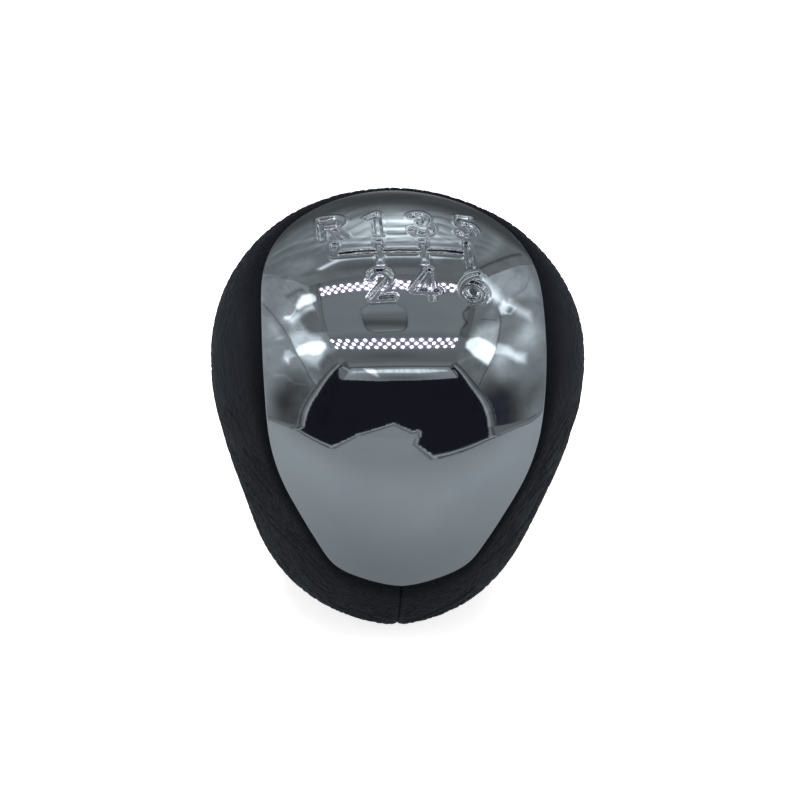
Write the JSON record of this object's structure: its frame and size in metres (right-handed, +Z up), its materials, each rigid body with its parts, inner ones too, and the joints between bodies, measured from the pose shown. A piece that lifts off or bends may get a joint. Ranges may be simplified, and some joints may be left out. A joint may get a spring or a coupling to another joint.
{
  "type": "gear shift knob",
  "caption": "Leather wrapped gear shift knob with a plated shield that carries the shift pattern, a threaded bush and a base collar.",
  "frame": {"origin": "on the lever's axis, at the base plane where the bush opens", "axes": "+Z up the lever's axis to the crown, -Y towards the driver, the shield faces -Y and +Z"},
  "size_m": [0.056, 0.0591, 0.0625],
  "materials": {
    "plated_trim": "bright",
    "foam_tape": "matte",
    "leather": "grained satin",
    "core_plastic": "matte",
    "bush_metal": "turned",
    "weight_metal": "turned",
    "spring_steel": "satin",
    "collar_plastic": "satin"
  },
  "bodies": {
    "root": {"trim_shield": "plated_trim", "shield_tape": "foam_tape", "leather_left": "leather", "leather_right": "leather", "core_body": "core_plastic", "threaded_bush": "bush_metal", "steel_weight": "weight_metal", "weight_clip": "spring_steel", "base_collar": "collar_plastic"}
  },
  "joints": []
}
